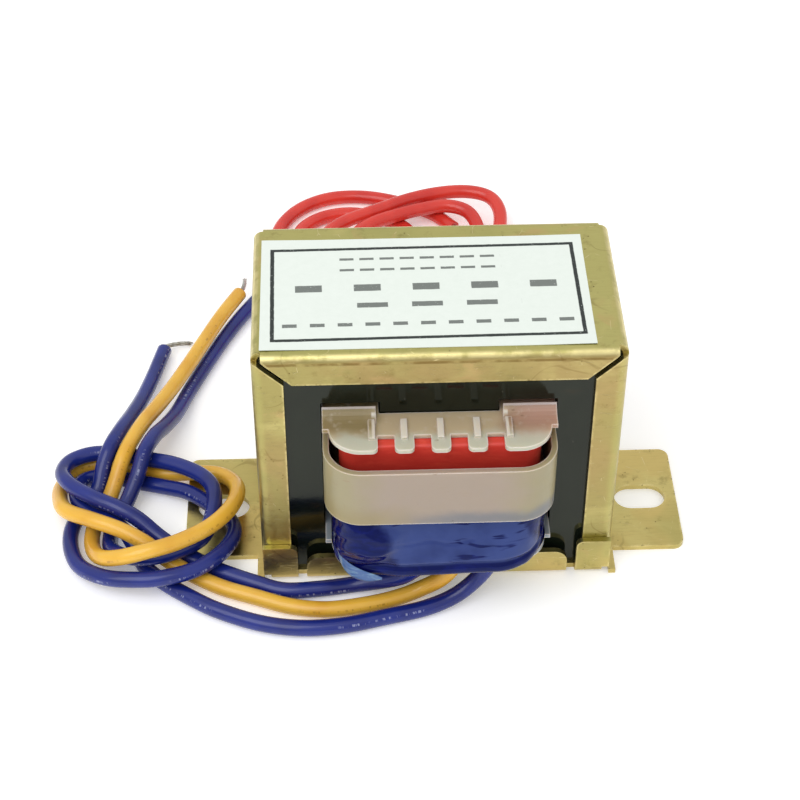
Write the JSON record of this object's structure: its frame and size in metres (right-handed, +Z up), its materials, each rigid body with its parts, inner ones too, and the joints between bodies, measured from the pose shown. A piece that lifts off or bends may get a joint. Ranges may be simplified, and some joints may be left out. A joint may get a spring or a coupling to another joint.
{
  "type": "laminated chassis transformer",
  "caption": "Laminated chassis transformer with a folded plated-steel frame, slotted mounting feet, a split bobbin and free insulated leads with stripped ends.",
  "frame": {"origin": "middle of the underside of the base plate, half-way between the two fixing slots", "axes": "+X along the base from the left foot to the right foot, seen from the front; +Y from the front, where the secondary leads leave the coil, to the back; +Z up"},
  "size_m": [0.1105, 0.1216, 0.0498],
  "materials": {
    "plated_steel": "yellow passivated zinc, satin",
    "core_steel": "gloss varnish",
    "bobbin_plastic": "satin",
    "shroud_plastic": "satin",
    "copper": "enamelled",
    "red_tape": "gloss",
    "blue_tape": "gloss",
    "label_paper": "matt",
    "blue_insulation": "satin",
    "yellow_insulation": "satin",
    "red_insulation": "satin",
    "tinned_copper": "tinned"
  },
  "bodies": {
    "root": {"base_plate": "plated_steel", "upper_bracket": "plated_steel", "e_laminations_upright": "core_steel", "e_laminations_inverted": "core_steel", "i_laminations_top": "core_steel", "i_laminations_bottom": "core_steel", "bobbin": "bobbin_plastic", "primary_winding": "copper", "secondary_winding": "copper", "primary_tape": "red_tape", "secondary_tape": "blue_tape", "shroud_front": "shroud_plastic", "shroud_rear": "shroud_plastic", "label": "label_paper", "secondary_lead_blue_left": "blue_insulation", "secondary_lead_blue_right": "blue_insulation", "secondary_lead_yellow": "yellow_insulation", "primary_lead_red_outer": "red_insulation", "primary_lead_red_inner": "red_insulation", "secondary_conductor_blue_left": "tinned_copper", "secondary_conductor_yellow": "tinned_copper", "secondary_conductor_blue_right": "tinned_copper", "primary_conductor_red_outer": "tinned_copper", "primary_conductor_red_inner": "tinned_copper"}
  },
  "joints": []
}
